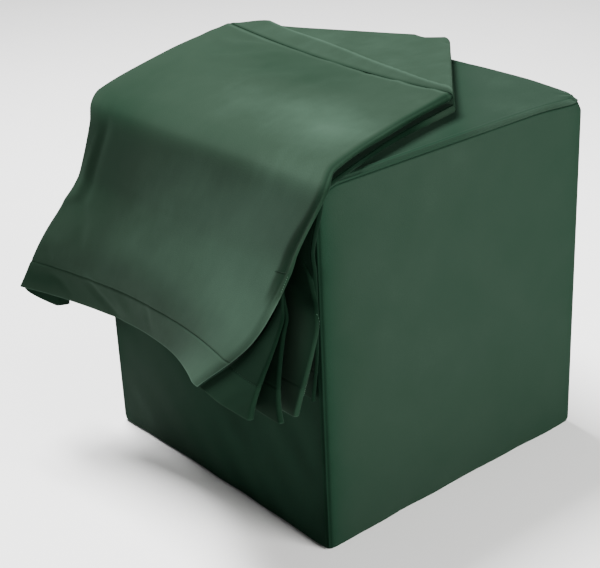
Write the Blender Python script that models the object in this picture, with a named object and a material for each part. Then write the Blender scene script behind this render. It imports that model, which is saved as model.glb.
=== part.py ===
"""Cube pouf stool with its own slipcover, taken off, folded flat and laid over the front edge.

The pouf is a filled cube with a padded top panel. The slipcover is a soft box of five
panels. Its two side panels are folded inwards between the front and the back panel, as on
a paper bag, and its top panel is folded to a point behind them. The lower half of the
cover hangs over the pouf's front edge, where the right side panel opens in two pleats.

Metres, Z up, the pouf's underside on Z = 0, its front face towards -Y.
"""
import math

import bmesh
import bpy

# ---------------------------------------------------------------- driving dimensions

POUF_SIDE = 0.430            # width and depth over the corner seams
SEAM_HEIGHT = 0.4455         # where the top panel is sewn to the sides
TOP_EDGE = 0.0040            # height of the top panel's sewn edge
TOP_CROWN = 0.0105           # how far the padded top rises over that edge
TOP_FLATNESS = 7             # power that keeps the top level up to its rim
RIM_ROUNDNESS = 0.6          # power that rounds the crown off at the rim
RIM_SHARE = 0.45             # radius of the top panel's edge, as a share of its height
CROWN_FROM = 0.6             # the share of that height over which the panel is crowned
SIDE_CROWN = 0.0035          # how far the middle of a side face stands out
SIDE_FULLNESS = 0.7          # power that fills a side face up to its edges
FOOT_DRAW = 0.003            # how far the bottom edges are drawn in at their middle
FOOT_SHARE = 0.2             # the share of the height in which they draw in
CORNER_RADIUS = 0.008
FOOT_RADIUS = 0.004
GAP = 0.0003                 # left between two pieces that touch

CLOTH = 0.0016               # thickness of the velvet
PANEL_WIDTH = 0.43           # cut width of the front and the back panel
GUSSET_WIDTH = 0.418         # cut width of the two side panels
FOLD_GAP = 0.0034            # from layer to layer in a pressed fold
FOLD_REACH = 0.0022          # cloth taken up on either side of a fold line
PLEAT_SPREAD = 2.0           # how much further than a pressed fold the pleats part at the hem
LAYER_GAP = 0.0030           # least depth from a side panel to the panel that it is sewn to
TUCK = 0.050                 # from a seam to where the side panel lies that close
SEAM_GAP = 0.0009            # between two panels sewn edge to edge
SLIT_DROP = 0.0034           # how far a side panel hangs under the front panel's unrolled edge

FOLD_MARKS = (-1.6, -0.55, 0.55, 1.6)   # places of the points round a fold, in FOLD_REACH
LEG_FACES = 4                # faces across each leg between two folds
DEPTH_POWER = 0.6            # how soon a folded side panel's layers sink to their depth
LEAST_PLEAT = 0.2            # share of a pleat's size where it begins
PLEAT_QUICKNESS = 2.2        # a pleat is fully folded at 1 / this of its length
CLOTH_STEPS = 840            # steps in which a side panel's folded path is summed

CURL_FACES = 5               # faces round a rolled edge
CURL_TURN = 150              # degrees, on all edges but the front panel's right one
SLIT_TURN = 110              # degrees, below which the right corner's slit parts the two panels
PANEL_FACES = 12             # faces across the flat of a panel

# The cover's cross-sections, from the top seam to the hem. run is the cloth's length from
# the top seam. left and right are where the front panel's two edges lie; sag lowers its
# middle and bow pushes it towards the pouf; roll is the share of the folds' whole depth
# that its edges roll under, and turn the angle in degrees that the right one rolls
# through. back_right is the x of the back panel's right edge, back its (y, z), and
# lower_roll its edges' roll.
SECTIONS = (
    dict(run=0.000, left=(-0.275, 0.053, 0.4935), right=(0.160, 0.043, 0.4870), sag=0.009, bow=0.000,
         roll=0.330, turn=150, back_right=0.160, back=(0.050, 0.4615), lower_roll=0.330),
    dict(run=0.140, left=(-0.249, -0.075, 0.4845), right=(0.185, -0.075, 0.4795), sag=0.004, bow=0.000,
         roll=0.330, turn=150, back_right=0.187, back=(-0.077, 0.4615), lower_roll=0.330),
    dict(run=0.262, left=(-0.216, -0.198, 0.4690), right=(0.222, -0.192, 0.4750), sag=0.001, bow=0.000,
         roll=0.330, turn=150, back_right=0.227, back=(-0.200, 0.4590), lower_roll=0.330),
    dict(run=0.283, left=(-0.197, -0.224, 0.4610), right=(0.246, -0.226, 0.4690), sag=0.000, bow=0.000,
         roll=0.330, turn=150, back_right=0.231, back=(-0.2150, 0.4545), lower_roll=0.330),
    dict(run=0.304, left=(-0.187, -0.2345, 0.4420), right=(0.242, -0.2375, 0.4470), sag=0.001, bow=0.000,
         roll=0.300, turn=150, back_right=0.233, back=(-0.2195, 0.4400), lower_roll=0.300),
    dict(run=0.358, left=(-0.205, -0.2415, 0.3860), right=(0.209, -0.2415, 0.3880), sag=0.000, bow=-0.002,
         roll=0.250, turn=140, back_right=0.217, back=(-0.2195, 0.3870), lower_roll=0.220),
    dict(run=0.384, left=(-0.212, -0.2480, 0.3630), right=(0.203, -0.2490, 0.3640), sag=0.000, bow=0.001,
         roll=0.200, turn=110, back_right=0.219, back=(-0.2195, 0.3610), lower_roll=0.160),
    dict(run=0.474, left=(-0.237, -0.2900, 0.2940), right=(0.182, -0.2880, 0.2900), sag=0.000, bow=0.018,
         roll=0.070, turn=45, back_right=0.217, back=(-0.2195, 0.2750), lower_roll=0.065),
    dict(run=0.575, left=(-0.262, -0.3200, 0.2220), right=(0.118, -0.3200, 0.2240), sag=0.014, bow=0.055,
         roll=0.045, turn=30, back_right=0.207, back=(-0.2195, 0.2030), lower_roll=0.050),
)
HEM = SECTIONS[-1]["run"]
HANG = SECTIONS[5]["run"]                    # from here the side panels open
SECTION_STEPS = (3, 3, 2, 2, 2, 2, 5, 5)     # rings of points from one section to the next

# Pleats in the two side panels (1 is the right one, -1 the left). start and size are the
# cloth they take at the hem, opens is the run at which they begin, and inward says that
# the leg they are on runs inwards.
PLEATS = {
    1: (dict(start=0.000, size=0.054, opens=0.400, inward=True),
        dict(start=0.271, size=0.069, opens=0.360, inward=False)),
    -1: (dict(start=0.042, size=0.046, opens=0.440, inward=True),),
}
HEM_DROOP = {1: 0.018, -1: 0.020}    # how much lower the side panels' middle hangs

# Where the top panel of the pouf is cut into faces, as shares of its half width.
TOP_CUTS = (-0.92, -0.8, -0.6, -0.3, 0.0, 0.3, 0.6, 0.8, 0.92)

APEX = (-0.045, 0.250, 0.4670)       # where the folded top panel comes to a point
APEX_DEPTH = 0.012                   # thickness of the folds there
LENS_END = 14                        # degrees, half the angle of a flat oval's round end
TOP_RINGS = (0.997, 0.95, 0.85, 0.70, 0.55, 0.42, 0.30, 0.20, 0.13, 0.08, 0.045)
TUCKED_IN = (0.55, 0.15)             # rings between which the top panel's inner folds run out
TIP_WALL = 0.012                     # width of the cloth between its layers past them
PLAIN_TIP = 0.15                     # the ring from which its tip is a plain flat oval
TIP_SHARE = 0.4                      # how far past the last ring its closing point lies

# Each piece's velvet, as linear colour: the side panels lie in the folds' shade.
VELVET = {
    "pouf_body": (0.038, 0.084, 0.052, 1.0),
    "pouf_top_panel": (0.052, 0.106, 0.070, 1.0),
    "cover_front_panel": (0.055, 0.115, 0.078, 1.0),
    "cover_back_panel": (0.045, 0.095, 0.062, 1.0),
    "cover_left_side_panel": (0.030, 0.070, 0.045, 1.0),
    "cover_right_side_panel": (0.030, 0.070, 0.045, 1.0),
    "cover_top_panel": (0.055, 0.115, 0.078, 1.0),
}
VELVET_ROUGHNESS = 0.9
VELVET_SHEEN = 0.5


# ---------------------------------------------------------------- small helpers

def mix(a, b, t):
    return a + (b - a) * t


def mix_all(a, b, t):
    return tuple(mix(p, q, t) for p, q in zip(a, b))


def ease(t):
    t = min(1.0, max(0.0, t))
    return t * t * (3 - 2 * t)


def velvet(name):
    """The velvet of one piece."""
    made = bpy.data.materials.new(name + "_velvet")
    made.use_nodes = True
    shader = made.node_tree.nodes["Principled BSDF"]
    shader.inputs["Base Color"].default_value = VELVET[name]
    shader.inputs["Roughness"].default_value = VELVET_ROUGHNESS
    shader.inputs["Metallic"].default_value = 0.0
    shader.inputs["Sheen Weight"].default_value = VELVET_SHEEN
    return made


def finish(name, shape):
    """Turn a bmesh into a named object with its own material."""
    bmesh.ops.recalc_face_normals(shape, faces=shape.faces)
    mesh = bpy.data.meshes.new(name)
    shape.to_mesh(mesh)
    shape.free()
    mesh.shade_smooth()
    thing = bpy.data.objects.new(name, mesh)
    bpy.context.collection.objects.link(thing)
    thing.data.materials.append(velvet(name))
    return thing


# ---------------------------------------------------------------- the pouf

def crown(x, y):
    """Height of the padded top over its sewn edge: full in the middle, round at the rim."""
    half = POUF_SIDE / 2
    height = TOP_CROWN
    for value in (x, y):
        height *= max(0.0, 1 - min(1.0, abs(value) / half) ** TOP_FLATNESS) ** RIM_ROUNDNESS
    return height


def block(height, radius, cuts):
    """A rounded box standing on Z = 0, its faces cut into a grid."""
    shape = bmesh.new()
    bmesh.ops.create_cube(shape, size=1.0)
    bmesh.ops.scale(shape, vec=(POUF_SIDE, POUF_SIDE, height), verts=shape.verts)
    bmesh.ops.translate(shape, vec=(0, 0, height / 2), verts=shape.verts)
    upright = [e for e in shape.edges if abs(e.verts[0].co.z - e.verts[1].co.z) > height / 2]
    bmesh.ops.bevel(shape, geom=upright, offset=CORNER_RADIUS, segments=3, profile=0.5,
                    affect="EDGES")
    level = [e for e in shape.edges if abs(e.verts[0].co.z - e.verts[1].co.z) < 1e-6]
    bmesh.ops.bevel(shape, geom=level, offset=radius, segments=2, profile=0.5, affect="EDGES")
    for axis, places in enumerate(cuts):
        for place in places:
            spot = [place if k == axis else 0.0 for k in range(3)]
            normal = [1.0 if k == axis else 0.0 for k in range(3)]
            everything = shape.verts[:] + shape.edges[:] + shape.faces[:]
            bmesh.ops.bisect_plane(shape, geom=everything, dist=1e-6, plane_co=spot,
                                   plane_no=normal)
    return shape


def pouf_body():
    half = POUF_SIDE / 2
    across = [half * k / 4 for k in range(-3, 4)]
    up = [SEAM_HEIGHT * k / 8 for k in range(1, 8)]
    shape = block(SEAM_HEIGHT, FOOT_RADIUS, (across, across, up))
    for vert in shape.verts:
        x, y, z = vert.co
        fill = SIDE_CROWN * max(0.0, math.sin(math.pi * z / SEAM_HEIGHT)) ** SIDE_FULLNESS
        fill -= FOOT_DRAW * max(0.0, 1 - z / (FOOT_SHARE * SEAM_HEIGHT))
        if abs(x) > half - FOOT_RADIUS:
            vert.co.x += math.copysign(fill * (1 - (y / half) ** 2), x)
        if abs(y) > half - FOOT_RADIUS:
            vert.co.y += math.copysign(fill * (1 - (x / half) ** 2), y)
    return finish("pouf_body", shape)


def pouf_top_panel():
    half = POUF_SIDE / 2
    across = [half * share for share in TOP_CUTS]
    shape = block(TOP_EDGE, TOP_EDGE * RIM_SHARE, (across, across, ()))
    for vert in shape.verts:
        if vert.co.z > TOP_EDGE * CROWN_FROM:
            vert.co.z += crown(vert.co.x, vert.co.y)
        vert.co.z += SEAM_HEIGHT + GAP
    return finish("pouf_top_panel", shape)


# ---------------------------------------------------------------- the cover's cross-section

def fold_marks(folds, length):
    """Places along a side panel for its points: four round each fold, more on each leg."""
    marks = [SEAM_GAP]
    for place in folds:
        start, stop = marks[-1], place + FOLD_MARKS[0] * FOLD_REACH
        marks += [mix(start, stop, k / LEG_FACES) for k in range(1, LEG_FACES)]
        marks += [place + FOLD_REACH * mark for mark in FOLD_MARKS]
    marks += [mix(marks[-1], length - SEAM_GAP, k / LEG_FACES) for k in range(1, LEG_FACES + 1)]
    least = FOLD_REACH / 4
    for k in range(1, len(marks)):
        marks[k] = max(marks[k], marks[k - 1] + least)
    marks[-1] = length - SEAM_GAP
    for k in range(len(marks) - 2, 0, -1):
        marks[k] = min(marks[k], marks[k + 1] - least)
    return marks


def curl(roll, turn):
    """Offsets (x, depth) round a rolled edge whose outermost point is at x = 0."""
    radius = roll / (1 - math.cos(math.radians(turn)))
    angles = [math.radians(turn) * k / CURL_FACES for k in range(CURL_FACES + 1)]
    spread = [(radius * math.sin(a), radius * (1 - math.cos(a))) for a in angles]
    widest = max(x for x, _ in spread)
    return [(x - widest, depth) for x, depth in spread]


class Section:
    """One cross-section of the folded cover: front panel, two side panels, back panel."""

    def __init__(self, left, right, back_left, back_right, sag, bow, roll, turn, lower_roll,
                 gusset, pleats, droop):
        self.left, self.right = left, right
        self.back_left, self.back_right = back_left, back_right
        self.sag, self.bow, self.turn = sag, bow, turn
        depths = {1: self.reach(right[0]), -1: self.reach(left[0])}
        turns = {1: turn, -1: CURL_TURN}
        self.front_curl = {side: curl(roll * depths[side], turns[side]) for side in (1, -1)}
        self.back_curl = {side: curl(lower_roll * depths[side], CURL_TURN) for side in (1, -1)}
        self.gusset, self.pleats, self.droop = gusset, pleats, droop

    def ends(self, x):
        """The front panel's and the back panel's (y, z) at x."""
        share = min(1.0, max(0.0, (x - self.left[0]) / (self.right[0] - self.left[0])))
        hump = 4 * share * (1 - share)
        front = (mix(self.left[1], self.right[1], share) + self.bow * hump,
                 mix(self.left[2], self.right[2], share) - self.sag * hump)
        share = min(1.0, max(0.0, (x - self.back_left[0]) / (self.back_right[0] - self.back_left[0])))
        return front, mix_all(self.back_left[1:], self.back_right[1:], share)

    def reach(self, x):
        """Depth of the folded cover at x."""
        front, back = self.ends(x)
        return math.hypot(back[0] - front[0], back[1] - front[1])

    def point(self, x, depth):
        """The point at x that lies so deep under the front panel."""
        front, back = self.ends(x)
        y, z = mix_all(front, back, depth / self.reach(x))
        return x, y, z

    def front_line(self):
        left = [self.point(self.left[0] - x, depth) for x, depth in reversed(self.front_curl[-1])]
        right = [self.point(self.right[0] + x, depth) for x, depth in self.front_curl[1]]
        flat = [self.point(mix(left[-1][0], right[0][0], k / PANEL_FACES), 0.0)
                for k in range(1, PANEL_FACES)]
        return left + flat + right

    def back_line(self):
        left = [(self.back_left[0] - x, height) for x, height in reversed(self.back_curl[-1])]
        right = [(self.back_right[0] + x, height) for x, height in self.back_curl[1]]
        flat = [(mix(left[-1][0], right[0][0], k / PANEL_FACES), 0.0) for k in range(1, PANEL_FACES)]
        return [self.point(x, self.reach(x) - height) for x, height in left + flat + right]

    def gusset_line(self, side):
        """A side panel from the front seam to the back seam: folded inwards once, and
        pleated near the hem. side is 1 on the right and -1 on the left."""
        front_edge, back_edge = (self.right, self.back_right) if side > 0 else (self.left, self.back_left)
        upper = self.front_curl[side][-1]
        lower = self.back_curl[side][-1]
        rolled = upper[1]
        if side > 0:
            upper = (upper[0], rolled + SLIT_DROP * ease((SLIT_TURN - self.turn) / SLIT_TURN * 2))
        start_x = front_edge[0] + side * upper[0]
        end_x = back_edge[0] + side * lower[0]
        pleats = self.pleats[side]
        taken = sum(p["strength"] * p["size"] * (1 if p["inward"] else -1) for p in pleats)
        deepest = (self.gusset - side * (end_x - start_x)) / 2 + taken
        folds = [dict(place=deepest, parted=1.0)]
        for p in pleats:
            parted = min(1.0, 2 * p["strength"]) * (1 + PLEAT_SPREAD * p["grown"])
            if p["start"] > 0:
                folds.append(dict(place=p["start"], parted=parted))
            folds.append(dict(place=p["start"] + p["size"], parted=parted))
        folds.sort(key=lambda fold: fold["place"])

        def turned(s, place):
            return ease((s - place + FOLD_REACH) / (2 * FOLD_REACH))

        def heading(s):
            value = 2 * turned(s, deepest) - 1
            for p in pleats:
                opened = turned(s, p["start"]) if p["start"] > 0 else 1.0
                value *= 1 - 2 * p["strength"] * opened * (1 - turned(s, p["start"] + p["size"]))
            return value

        folded = sum(fold["parted"] for fold in folds)
        room = self.reach((start_x + end_x) / 2 - side * deepest / 2) - 2 * LAYER_GAP
        jump = min(FOLD_GAP / room, 1 / folded)

        def share(s):
            steps = sum(fold["parted"] * turned(s, fold["place"]) for fold in folds)
            return (1 - jump * folded) * (s / self.gusset) ** DEPTH_POWER + jump * steps

        tuck = min(TUCK, self.gusset / 4)

        def depth_at(x, s):
            front = mix(upper[1], LAYER_GAP, ease(s / tuck))
            back = mix(lower[1], LAYER_GAP, ease((self.gusset - s) / tuck))
            return mix(front, self.reach(x) - back, share(s))

        step = self.gusset / CLOTH_STEPS
        places = [start_x]
        for k in range(CLOTH_STEPS):
            places.append(places[-1] + side * heading((k + 0.5) * step) * step)
        drift = (end_x - places[-1]) / CLOTH_STEPS
        line = []
        for s in fold_marks([fold["place"] for fold in folds], self.gusset):
            k = min(CLOTH_STEPS - 1, int(s / step))
            x = mix(places[k], places[k + 1], s / step - k) + drift * s / step
            px, py, pz = self.point(x, depth_at(x, s))
            lower_by = self.droop[side] * math.sin(math.pi * math.sqrt(s / self.gusset))
            line.append((px, py, pz - lower_by))
        return line


def column(key, row, t):
    """One column of the table, t of the way from a row to the next, on a smooth curve."""
    rows = [SECTIONS[min(len(SECTIONS) - 1, max(0, row + k))] for k in (-1, 0, 1, 2)]
    runs = [r["run"] for r in rows]
    span = runs[2] - runs[1]

    def curve(values):
        before = (values[2] - values[0]) / (runs[2] - runs[0]) * span
        after = (values[3] - values[1]) / (runs[3] - runs[1]) * span
        return ((2 * t ** 3 - 3 * t ** 2 + 1) * values[1] + (t ** 3 - 2 * t ** 2 + t) * before
                + (3 * t ** 2 - 2 * t ** 3) * values[2] + (t ** 3 - t ** 2) * after)

    values = [r[key] for r in rows]
    if isinstance(values[0], tuple):
        return tuple(curve(column_values) for column_values in zip(*values))
    return curve(values)


def section(row, t):
    """The cover's cross-section t of the way from a row of the table to the next."""
    run = column("run", row, t)
    back = column("back", row, t)
    right = column("back_right", row, t)
    opened = {}
    for side, rows in PLEATS.items():
        opened[side] = []
        for pleat in rows:
            grown = max(0.0, (run - pleat["opens"]) / (HEM - pleat["opens"]))
            opened[side].append(dict(start=pleat["start"],
                                     size=pleat["size"] * max(LEAST_PLEAT, grown),
                                     strength=ease(PLEAT_QUICKNESS * grown), grown=grown,
                                     inward=pleat["inward"]))
    hang = ease((run - HANG) / (HEM - HANG))
    return Section(column("left", row, t), column("right", row, t),
                   (right - PANEL_WIDTH, *back), (right, *back),
                   column("sag", row, t), column("bow", row, t), column("roll", row, t),
                   column("turn", row, t), column("lower_roll", row, t),
                   GUSSET_WIDTH, opened, {side: drop * hang for side, drop in HEM_DROOP.items()})


def all_sections():
    made = [section(0, 0.0)]
    for row, steps in enumerate(SECTION_STEPS):
        made += [section(row, (k + 1) / steps) for k in range(steps)]
    return made


def apex_section(seam, size):
    """The top panel's cross-section where it has narrowed to this share of its width."""
    def towards(place, rise):
        flat = mix_all(APEX[:2], place[:2], size)
        return (*flat, mix(APEX[2] + rise, place[2], size))

    half = APEX_DEPTH / 2
    calm = {1: [], -1: []}
    tucked_in = ease((size - TUCKED_IN[1]) / (TUCKED_IN[0] - TUCKED_IN[1]))
    return Section(towards(seam.left, half), towards(seam.right, half),
                   towards(seam.back_left, -half), towards(seam.back_right, -half),
                   seam.sag * size, 0.0, SECTIONS[0]["roll"], CURL_TURN, SECTIONS[0]["lower_roll"],
                   max(TIP_WALL, GUSSET_WIDTH * size * tucked_in),
                   calm, {1: 0.0, -1: 0.0})


# ---------------------------------------------------------------- the cover's panels

def cloth(name, lines, closed=False, tip=None):
    """A sheet through lines of points, given the velvet's thickness."""
    shape = bmesh.new()
    grid = [[shape.verts.new(place) for place in line] for line in lines]
    for near, far in zip(grid, grid[1:]):
        count = len(near) if closed else len(near) - 1
        for k in range(count):
            after = (k + 1) % len(near)
            shape.faces.new((near[k], near[after], far[after], far[k]))
    if tip is not None:
        point = shape.verts.new(tip)
        last = grid[-1]
        for k in range(len(last)):
            shape.faces.new((last[k], last[(k + 1) % len(last)], point))
    sheet = finish(name, shape)
    thick = sheet.modifiers.new("velvet", "SOLIDIFY")
    thick.thickness = CLOTH
    thick.offset = 0.0
    thick.use_even_offset = True
    return sheet


def lens(cut, across, deep):
    """A plain flat oval in the place of a cross-section, as many points across and deep."""
    middle = (cut.left[0] + cut.right[0]) / 2
    half = (cut.right[0] - cut.left[0]) / 2
    ring = []
    for start, stop, count in ((180 - LENS_END, LENS_END, across), (LENS_END, -LENS_END, deep),
                               (-LENS_END, LENS_END - 180, across),
                               (LENS_END - 180, -LENS_END - 180, deep)):
        inner = range(count) if count == across else range(1, count - 1)
        for k in inner:
            angle = math.radians(mix(start, stop, k / (count - 1)))
            x = middle + half * math.cos(angle)
            ring.append(cut.point(x, cut.reach(x) * (1 - math.sin(angle)) / 2))
    return ring


def top_panel(seam):
    """The cover's top panel: the whole ring of folds narrowed to a point."""
    rings = []
    for size in TOP_RINGS:
        cut = apex_section(seam, size)
        front, back = cut.front_line(), cut.back_line()
        right, left = cut.gusset_line(1), cut.gusset_line(-1)
        folded = front + right[1:-1] + back[::-1] + left[-2:0:-1]
        rings.append(folded if size > PLAIN_TIP else lens(cut, len(front), len(right)))
    middle = [sum(values) / len(rings[-1]) for values in zip(*rings[-1])]
    return cloth("cover_top_panel", rings, closed=True, tip=mix_all(middle, APEX, TIP_SHARE))


def slipcover():
    cuts = all_sections()
    cloth("cover_front_panel", [cut.front_line() for cut in cuts])
    cloth("cover_back_panel", [cut.back_line() for cut in cuts])
    cloth("cover_right_side_panel", [cut.gusset_line(1) for cut in cuts])
    cloth("cover_left_side_panel", [cut.gusset_line(-1) for cut in cuts])
    top_panel(cuts[0])


def main():
    for thing in list(bpy.data.objects):
        bpy.data.objects.remove(thing, do_unlink=True)
    pouf_body()
    pouf_top_panel()
    slipcover()


main()
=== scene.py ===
"""Looks of a cube pouf stool in green velvet, with its own slipcover folded over one edge.

Metres, Z up, the pouf's underside on Z = 0, its front face towards -Y. The pouf is tight
velvet over a firm filled cube. The slipcover is a soft box of five velvet panels: its side
panels are folded inwards between the front and the back panel, its top panel comes to a
point on the pouf, and its lower half hangs over the pouf's front edge.
"""
import math

import bpy
from mathutils import Matrix, Vector


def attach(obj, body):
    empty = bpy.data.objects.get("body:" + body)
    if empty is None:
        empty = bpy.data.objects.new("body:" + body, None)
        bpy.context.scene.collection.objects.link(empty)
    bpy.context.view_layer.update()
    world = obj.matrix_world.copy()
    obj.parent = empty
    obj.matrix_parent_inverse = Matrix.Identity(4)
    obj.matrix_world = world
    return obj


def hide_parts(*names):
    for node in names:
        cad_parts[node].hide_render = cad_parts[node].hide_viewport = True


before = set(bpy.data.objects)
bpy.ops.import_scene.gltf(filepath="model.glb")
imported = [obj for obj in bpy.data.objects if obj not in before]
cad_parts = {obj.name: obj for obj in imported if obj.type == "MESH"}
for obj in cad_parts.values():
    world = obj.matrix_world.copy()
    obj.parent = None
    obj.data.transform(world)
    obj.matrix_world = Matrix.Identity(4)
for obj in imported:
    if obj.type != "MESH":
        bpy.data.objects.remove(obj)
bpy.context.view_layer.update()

# ---------------------------------------------------------------- sizes, in metres

POUF_SIDE = 0.430            # over the corner seams
SEAM_HEIGHT = 0.4455         # the seam between the sides and the top panel
TOP_EDGE = 0.0034            # height of the top panel's sewn rim
RIM = TOP_EDGE * 0.45        # how far its roundness reaches in
TOP_CROWN = 0.0105           # how far the top stands over its rim in the middle
SHOULDER = 0.0062            # the part of it in the top's rounded shoulder
SHOULDER_REACH = 0.0100
PADDING = 0.0045             # how much higher the top stands clear of the cover
BAND = 0.0045                # from the edge to the top panel's topstitching
SIDE_CROWN = 0.0035          # how far the sides stand out in the middle
PRESSED = 0.72               # share of that where the cover's back panel lies on the front
CORNER_PULL = 0.0028         # how far the top corners are drawn in
PULL_REACH = 0.012
FOOT_DRAW = 0.003            # how far the foot is drawn in
CORNER_RADIUS = 0.008
FOOT_RADIUS = 0.004
FOOT_CORNER = 0.0072         # the foot's radius at the four corners
SEAM_RADIUS = 0.0016         # of the sides' upper edge, down into the seam
SEAM_BOW = 0.0062            # how much higher the seam runs along the middle of a side
GAP = 0.0003                 # between the body and the top panel

CLOTH = 0.0016               # thickness of the cover's velvet
PANEL_WIDTH = 0.43
GUSSET_WIDTH = 0.418         # of the side panels
FOLD_GAP = 0.0034            # between the middles of two layers at a fold
FOLD_REACH = 0.0022          # how far a fold's bend reaches on either side
PLEAT_SPREAD = {1: 0.0, -1: 2.0}   # how much further apart the pleats' folds stand at the hem
LAYER_GAP = 0.0030           # from a side panel to the front and back panels
TUCK = 0.050                 # over this length a side panel draws in from its seams
SEAM_GAP = 0.0009
SLIT_DROP = 0.0034           # how far a side panel hangs under the front panel's unrolled edge
CURL_TURN = 150              # degrees that the panels' edges roll round
SLIT_TURN = 110              # degrees, below which the right corner's slit parts the panels

CURL_FACES = 12              # faces round a rolled edge
LEG_FACES = 12               # faces across each leg of a folded side panel
FOLD_FACES = 8               # faces round each of its folds
BROW_FACES = 5               # faces round the pouf's foot and its seam edge
CORNER_FACES = 16            # faces round a corner of the pouf
RIM_FACES = 8                # faces round the rim of its top panel
FRONT_FACES, BACK_FACES, TOP_FACES = 150, 60, 80   # faces across the cover's panels
WALK = 840                   # steps in which a folded side panel's line is followed
INNER_RINGS = (0.35, 0.75, 0.95)   # shares of the way out, under the pouf and under its top

RIGHT, BACK, LEFT, FRONT = range(4)   # the pouf's faces
VIEW_FROM = (1.2712, -1.1008, 0.9917)


def table(columns, *rows):
    """Rows as dicts, by the names of their columns."""
    return tuple(dict(zip(columns.split(), row)) for row in rows)


# The cover's cross-sections from the top seam to the hem, in the columns that the CAD has:
# where the front panel's two edges lie, how far its middle sags and bows, how its edges
# roll under, and where the back panel lies.
SECTIONS = table(
    "run left right sag bow roll turn back_right back lower_roll",
    (0.000, (-0.275, 0.053, 0.4935), (0.160, 0.043, 0.4870), 0.009, 0.000, 0.330, 150, 0.160,
     (0.050, 0.4615), 0.330),
    (0.140, (-0.249, -0.075, 0.4845), (0.185, -0.075, 0.4795), 0.004, 0.000, 0.330, 150, 0.187,
     (-0.077, 0.4615), 0.330),
    (0.262, (-0.216, -0.198, 0.4690), (0.222, -0.192, 0.4750), 0.001, 0.000, 0.330, 150, 0.227,
     (-0.200, 0.4590), 0.330),
    (0.283, (-0.197, -0.224, 0.4610), (0.246, -0.226, 0.4690), 0.000, 0.000, 0.330, 150, 0.231,
     (-0.2150, 0.4545), 0.330),
    (0.304, (-0.187, -0.2345, 0.4420), (0.242, -0.2375, 0.4470), 0.001, 0.000, 0.300, 150, 0.233,
     (-0.2195, 0.4400), 0.300),
    (0.358, (-0.205, -0.2415, 0.3860), (0.209, -0.2415, 0.3880), 0.000, -0.002, 0.250, 140, 0.217,
     (-0.2195, 0.3870), 0.220),
    (0.384, (-0.212, -0.2480, 0.3630), (0.203, -0.2490, 0.3640), 0.000, 0.001, 0.200, 110, 0.219,
     (-0.2195, 0.3610), 0.160),
    (0.474, (-0.237, -0.2900, 0.2940), (0.182, -0.2880, 0.2900), 0.000, 0.018, 0.070, 45, 0.217,
     (-0.2195, 0.2750), 0.065),
    (0.575, (-0.262, -0.3200, 0.2220), (0.118, -0.3200, 0.2240), 0.014, 0.055, 0.045, 30, 0.207,
     (-0.2195, 0.2030), 0.050),
)
HEM = SECTIONS[-1]["run"]
HANG = SECTIONS[5]["run"]    # from here the side panels open
# The pleats of the right (1) and the left (-1) side panel: the run at which each opens, where
# it starts along the panel and how wide it is at the hem, the powers by which both grow, its
# extra width halfway, how quickly it folds, and whether it turns in and ends at the back seam.
PLEAT_COLUMNS = "opens start start_power size size_power swell quick inward at_back"
PLEATS = {
    1: table(PLEAT_COLUMNS,
             (0.384, 0.000, 0.0, 0.092, 1.8, 0.000, 3.6, True, False),
             (0.384, 0.119, 1.5, 0.050, 1.2, -0.004, 3.6, True, False),
             (0.335, 0.392, 0.0, 0.026, 0.0, 0.001, 2.2, False, True)),
    -1: table(PLEAT_COLUMNS,
             (0.440, 0.042, 0.0, 0.046, 1.0, 0.000, 2.2, True, False)),
}
LEAST_PLEAT = 0.10           # share of a pleat's size where it begins
HEM_DROOP = {1: 0.005, -1: 0.020}   # how far the side panels' hems sag
SLIT = 0.384                 # the run below which the corners are open
PARTING, PARTED = 0.375, 0.40   # where the legs begin to part, and the back edge to open

APEX = (-0.045, 0.250, 0.4670)   # the point that the top panel is folded to
APEX_DEPTH = 0.012
COVER_EDGE = (0.207, 0.205, 0.2913)   # the way out of its right edge: x, y and their length
TUCKED_IN = (0.55, 0.15)     # shares of its size between which the side folds are tucked in
TIP_WALL = 0.012             # the side folds' least width
PLAIN_TIP = 0.15             # below this share the tip is a plain lens
LENS_END = 14                # degrees, where the lens is cut blunt

# Rows of points down a panel: up to each stop, this far apart.
FRONT_ROWS = ((0.004, 0.0010), (0.012, 0.0020), (0.250, 0.0032), (0.320, 0.0022), (0.505, 0.0034),
              (0.530, 0.0012), (0.571, 0.0028), (0.575, 0.0010))
SIDE_ROWS = ((0.010, 0.0020), (0.250, 0.0060), (0.320, 0.0035), (0.515, 0.0045), (0.535, 0.0015),
             (0.571, 0.0035), (0.575, 0.0010))
TOP_RINGS = ((0.020, 0.002), (0.200, 0.0115), (0.955, 0.024))

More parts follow.
